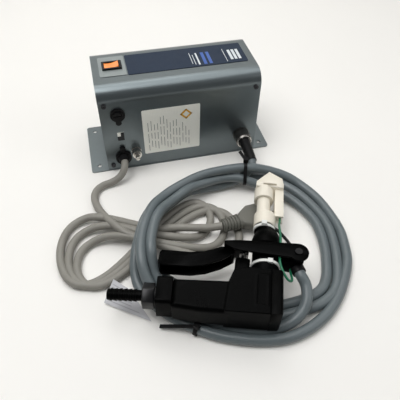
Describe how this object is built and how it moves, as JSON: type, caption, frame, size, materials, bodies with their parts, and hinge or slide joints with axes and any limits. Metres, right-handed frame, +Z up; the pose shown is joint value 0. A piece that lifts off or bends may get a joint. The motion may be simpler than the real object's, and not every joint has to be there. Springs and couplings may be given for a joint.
{
  "type": "ionizing air blow gun with high-voltage supply box",
  "caption": "Sheet-metal high-voltage supply box with rocker switch and fuse, cabled to a lever-operated ionising air blow gun, with coiled cable and mains cord.",
  "frame": {"origin": "centre of the four mounting holes, on the underside of the supply box's mounting plate", "axes": "+X along the box, -Y out of its front face with the connectors, +Z up, square to the mounting plate"},
  "size_m": [0.2894, 0.3336, 0.1096],
  "materials": {
    "hammertone_case": "hammered gloss",
    "plate_paint": "hammered gloss",
    "screw_steel": "dark plated",
    "switch_plate_grey": "satin",
    "name_plate_blue": "satin",
    "label_silver": "satin",
    "black_plastic": "moulded",
    "amber_plastic": "translucent",
    "fuse_glass": "clear",
    "nickel": "bright",
    "brass": "satin",
    "black_rubber": "matt",
    "core_steel": "laminated",
    "winding_tape": "taped",
    "terminal_ivory": "moulded",
    "lead_red": "insulated",
    "gun_black": "satin moulded",
    "pin_steel": "bright",
    "inlet_metal": "black anodised",
    "nozzle_white": "moulded",
    "green_wire": "insulated",
    "tie_white": "moulded",
    "mains_grey": "matt",
    "hv_grey": "satin",
    "paper": "paper"
  },
  "bodies": {
    "supply_and_gun": {"base_plate": "plate_paint", "cover": "hammertone_case", "end_plate_left": "hammertone_case", "end_plate_right": "hammertone_case", "cover_screws": "screw_steel", "plate_rivets": "screw_steel", "switch_plate": "switch_plate_grey", "name_plate": "name_plate_blue", "front_labels": "label_silver", "switch_body": "black_plastic", "fuse_holder": "black_plastic", "panel_nuts": "nickel", "cord_bushing": "black_rubber", "ground_stud": "brass", "ground_washer": "brass", "hv_socket": "inlet_metal", "hv_plug": "inlet_metal", "hv_boot": "black_rubber", "transformer_core": "core_steel", "transformer_windings": "winding_tape", "transformer_screws": "screw_steel", "terminal_block": "terminal_ivory", "internal_leads": "lead_red", "gun_body": "gun_black", "gun_end_cap": "gun_black", "gun_neck": "gun_black", "lever_pin": "pin_steel", "valve_gland": "brass", "valve_spring": "pin_steel", "inlet_block": "gun_black", "inlet_nut": "inlet_metal", "hose_barb": "gun_black", "nozzle_base": "nozzle_white", "nozzle_tube": "nozzle_white", "emitter_guard": "nozzle_white", "side_channel": "nozzle_white", "emitter_holder": "nozzle_white", "emitter_needle": "pin_steel", "cable_gland": "black_rubber", "hv_lead": "black_rubber", "earth_wire": "green_wire", "neck_tie_upper": "tie_white", "neck_tie_lower": "tie_white", "mains_plug": "black_rubber", "plug_blades": "nickel", "mains_cord_hank": "mains_grey", "mains_cord_run": "mains_grey", "mains_cord_tail": "mains_grey", "hv_cable_coil": "hv_grey", "hv_cable_exit": "hv_grey", "hv_cable_tail": "hv_grey", "coil_ties": "black_plastic", "paper_tag": "paper"},
    "rocker": {"rocker": "amber_plastic"},
    "fuse_carrier": {"fuse": "fuse_glass"},
    "fuse_knob": {"fuse_cap": "black_plastic"},
    "earth_nut": {"ground_nut": "nickel"},
    "connector_ring": {"hv_ring": "nickel"},
    "trigger_lever": {"lever": "gun_black"},
    "valve": {"valve_stem": "pin_steel"}
  },
  "joints": [
    {"name": "rocker_switch", "type": "hinge", "parent": "supply_and_gun", "child": "rocker", "pos_m": [-0.066, 0.004, 0.1055], "axis": [0, 1, 0], "range_deg": [0, 14]},
    {"name": "fuse_pull", "type": "slide", "parent": "supply_and_gun", "child": "fuse_carrier", "axis": [0, -1, 0], "range_m": [0, 0.025]},
    {"name": "fuse_cap_turn", "type": "hinge", "parent": "fuse_carrier", "child": "fuse_knob", "pos_m": [-0.0688, -0.0415, 0.0771], "axis": [0, -1, 0], "range_deg": [0, 45]},
    {"name": "earth_nut_turn", "type": "hinge", "parent": "supply_and_gun", "child": "earth_nut", "pos_m": [-0.0537, -0.045, 0.025], "axis": [0, 1, 0], "continuous": true},
    {"name": "connector_ring_turn", "type": "hinge", "parent": "supply_and_gun", "child": "connector_ring", "pos_m": [0.0694, -0.05, 0.027], "axis": [0, 1, 0], "continuous": true},
    {"name": "lever_squeeze", "type": "hinge", "parent": "supply_and_gun", "child": "trigger_lever", "pos_m": [0.06376, -0.22781, 0.0275], "axis": [0, 0, 1], "range_deg": [0, 6.5], "stiffness_Nm_per_rad": 0.8, "springref_deg": -11.46, "deforming": ["valve_spring"]},
    {"name": "valve_travel", "type": "slide", "parent": "supply_and_gun", "child": "valve", "axis": [-0.3584, -0.9336, 0], "range_m": [0, 0.0053]}
  ],
  "couplings": [
    {"joint": "valve_travel", "follows": "lever_squeeze", "m_per_rad": 0.0466}
  ]
}
